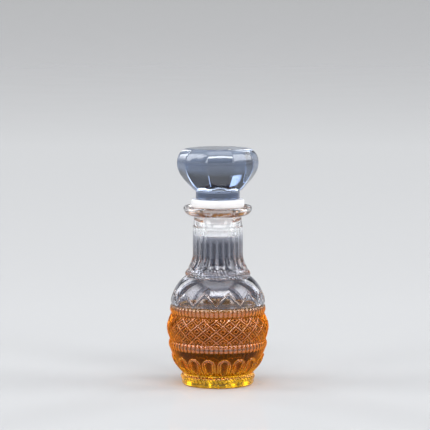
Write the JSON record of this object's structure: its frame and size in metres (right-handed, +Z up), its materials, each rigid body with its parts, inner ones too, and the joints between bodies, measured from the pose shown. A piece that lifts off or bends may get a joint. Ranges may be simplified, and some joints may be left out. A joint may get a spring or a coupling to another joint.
{
  "type": "whiskey decanter",
  "caption": "Small pressed-glass decanter with moulded relief, a fluted neck and a flared lip, holding whiskey, closed by a panelled glass stopper in a finned plastic sleeve.",
  "frame": {"origin": "centre of the foot's underside, on the surface that the bottle stands on", "axes": "+Z up along the bottle's axis, -Y towards the viewer, +X to the viewer's right"},
  "size_m": [0.066, 0.066, 0.1534],
  "materials": {
    "clear_glass": "fire-polished pressed soda glass, clear",
    "stopper_glass": "fire-polished pressed glass, clear with a faint blue cast",
    "whiskey": "clear amber spirit",
    "milky_plastic": "moulded translucent white polyethylene, satin"
  },
  "bodies": {
    "bottle": {"bottle": "clear_glass", "whiskey": "whiskey"},
    "sleeve": {"stopper_sleeve": "milky_plastic"},
    "stopper": {"stopper_head": "stopper_glass"}
  },
  "joints": [
    {"name": "stopper_lift", "type": "slide", "parent": "bottle", "child": "sleeve", "axis": [0, 0, 1], "range_m": [0, 0.03]},
    {"name": "stopper_turn", "type": "hinge", "parent": "sleeve", "child": "stopper", "pos_m": [0, 0, 0.1152], "axis": [0, 0, 1], "continuous": true}
  ]
}
